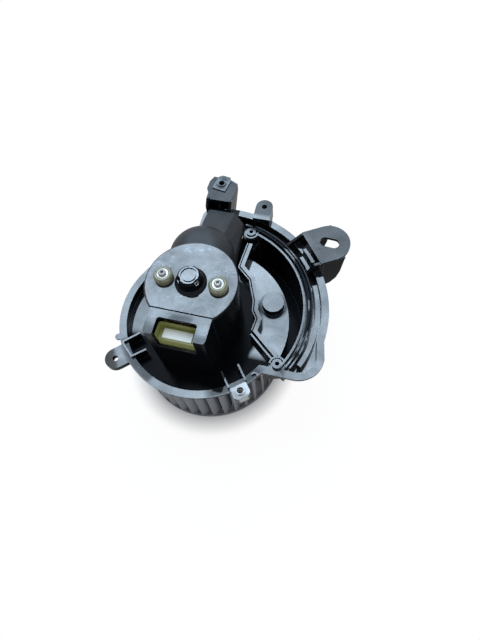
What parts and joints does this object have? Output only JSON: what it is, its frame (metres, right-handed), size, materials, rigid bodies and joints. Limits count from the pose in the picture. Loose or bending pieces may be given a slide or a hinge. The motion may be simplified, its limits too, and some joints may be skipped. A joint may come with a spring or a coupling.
{
  "type": "car cabin blower motor",
  "caption": "Brushed blower motor in a moulded mounting plate with a sealed module pocket and a forward curved fan wheel below.",
  "frame": {"origin": "on the motor axis, level with the fan wheel's lower rim", "axes": "+Z along the motor axis from the fan to the motor cover, -Y towards the plug window"},
  "size_m": [0.203, 0.234, 0.1635],
  "materials": {
    "plate": "glossy black polypropylene, dusty",
    "cover": "glossy black polypropylene, scuffed",
    "duct": "dull dark grey plastic",
    "bearing_cap": "glossy black plastic",
    "grommet": "cream rubber",
    "washer": "zinc plated steel",
    "screw": "plated steel screw",
    "clip_nut": "bright spring steel",
    "terminal_block": "olive nylon",
    "terminal_cap": "white nylon",
    "motor_can": "zinc plated sheet steel",
    "end_plate": "zinc plated sheet steel",
    "bearing": "sintered bronze",
    "magnet": "dark ferrite",
    "brush_holder": "brown phenolic",
    "brush": "carbon",
    "fan_wheel": "dusty dark grey plastic",
    "fan_clip": "spring steel",
    "shaft": "ground steel",
    "core": "steel laminations",
    "windings": "enamelled copper",
    "commutator": "copper segments"
  },
  "bodies": {
    "housing": {"mounting_plate": "plate", "motor_cover": "cover", "cooling_duct": "duct", "bearing_cap": "bearing_cap", "left_grommet": "grommet", "right_grommet": "grommet", "left_washer": "washer", "right_washer": "washer", "left_screw": "screw", "right_screw": "screw", "rear_clip_nut": "clip_nut", "front_clip_nut": "clip_nut", "terminal_block": "terminal_block", "terminal_cap": "terminal_cap", "motor_can": "motor_can", "end_plate": "end_plate", "upper_bearing": "bearing", "lower_bearing": "bearing", "left_magnet": "magnet", "right_magnet": "magnet", "brush_holder": "brush_holder", "left_brush": "brush", "right_brush": "brush"},
    "rotor": {"fan_wheel": "fan_wheel", "fan_clip": "fan_clip", "motor_shaft": "shaft", "armature_core": "core", "armature_windings": "windings", "commutator": "commutator"}
  },
  "joints": [
    {"name": "fan_spin", "type": "hinge", "parent": "housing", "child": "rotor", "pos_m": [0, 0, 0], "axis": [0, 0, 1], "continuous": true}
  ]
}
